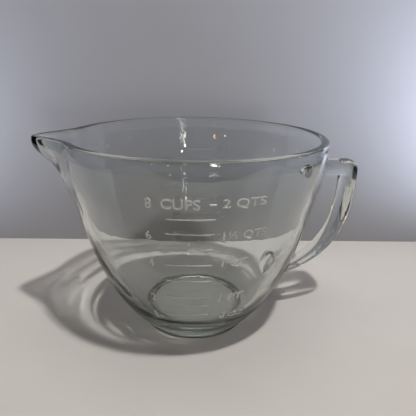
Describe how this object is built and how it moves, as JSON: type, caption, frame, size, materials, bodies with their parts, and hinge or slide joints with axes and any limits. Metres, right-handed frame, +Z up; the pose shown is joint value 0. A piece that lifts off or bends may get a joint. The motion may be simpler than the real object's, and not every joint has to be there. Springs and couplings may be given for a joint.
{
  "type": "measuring cup",
  "caption": "Clear pressed-glass measuring bowl on a low foot ring, with a thick rim, a beak spout opposite a strap handle, and raised measuring marks.",
  "frame": {"origin": "on the bowl's axis, at the plane that its foot ring stands on", "axes": "+Z up along the bowl's axis out of its mouth, +X from the axis to the handle, so the spout points to -X; the cup scale faces -Y and the metric scale +Y"},
  "size_m": [0.2443, 0.1908, 0.148],
  "materials": {
    "glass_wall": "fire-polished pressed glass, smooth and clear",
    "glass_heavy": "fire-polished pressed glass, smooth and clear",
    "glass_marks": "fire-polished pressed glass, smooth and clear"
  },
  "bodies": {
    "root": {"lower_wall": "glass_wall", "upper_wall": "glass_wall", "base": "glass_heavy", "rim": "glass_heavy", "pouring_spout": "glass_wall", "handle": "glass_wall", "cup_scale": "glass_marks", "metric_scale": "glass_marks"}
  },
  "joints": []
}
